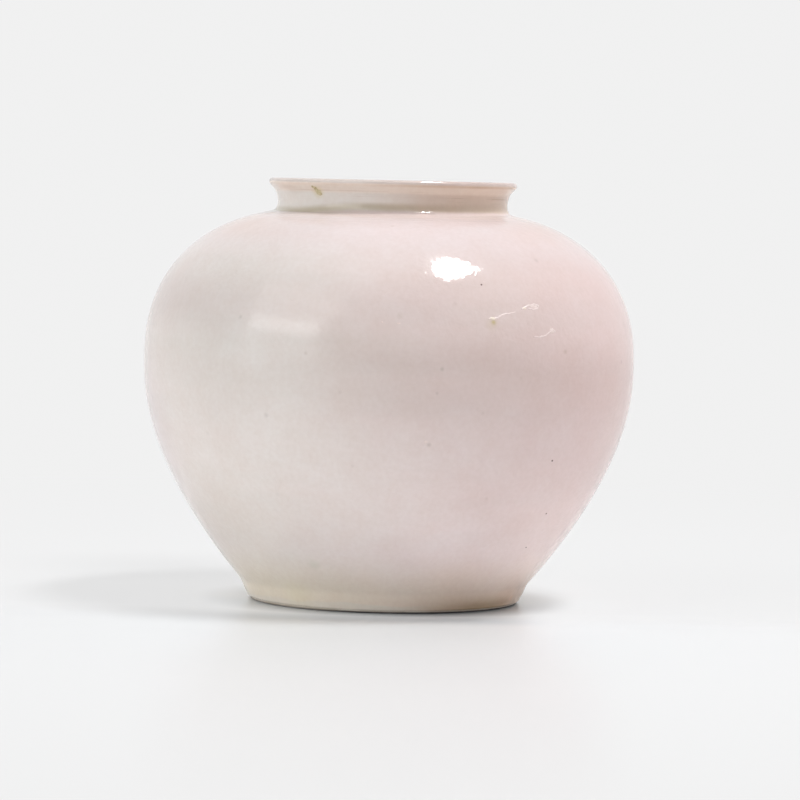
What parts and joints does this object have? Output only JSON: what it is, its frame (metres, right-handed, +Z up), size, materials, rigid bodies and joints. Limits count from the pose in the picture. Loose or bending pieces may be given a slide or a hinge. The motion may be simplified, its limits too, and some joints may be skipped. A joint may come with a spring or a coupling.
{
  "type": "globular jar",
  "caption": "Round-bellied ceramic jar with a high shoulder, short neck, rolled everted lip and tapered foot ring, thrown in sections and glazed pale pink.",
  "frame": {"origin": "centre of the foot ring's standing face, on the plane that the jar stands on", "axes": "+Z up along the axis that the jar was turned on; +X and +Y are any two level directions, with the pictured side facing -Y"},
  "size_m": [0.2492, 0.2492, 0.214],
  "materials": {
    "glaze": "glossy pale pink and cream glaze with fine pinholes and a few brown specks",
    "bare_clay": "unglazed fired clay, matt, with fine turning lines",
    "slip": "fired slip, smooth and matt"
  },
  "bodies": {
    "root": {"foot_ring": "bare_clay", "foot_luting": "slip", "lower_bowl": "glaze", "girth_luting": "slip", "upper_bowl": "glaze", "neck_luting": "slip", "neck_collar": "glaze"}
  },
  "joints": []
}
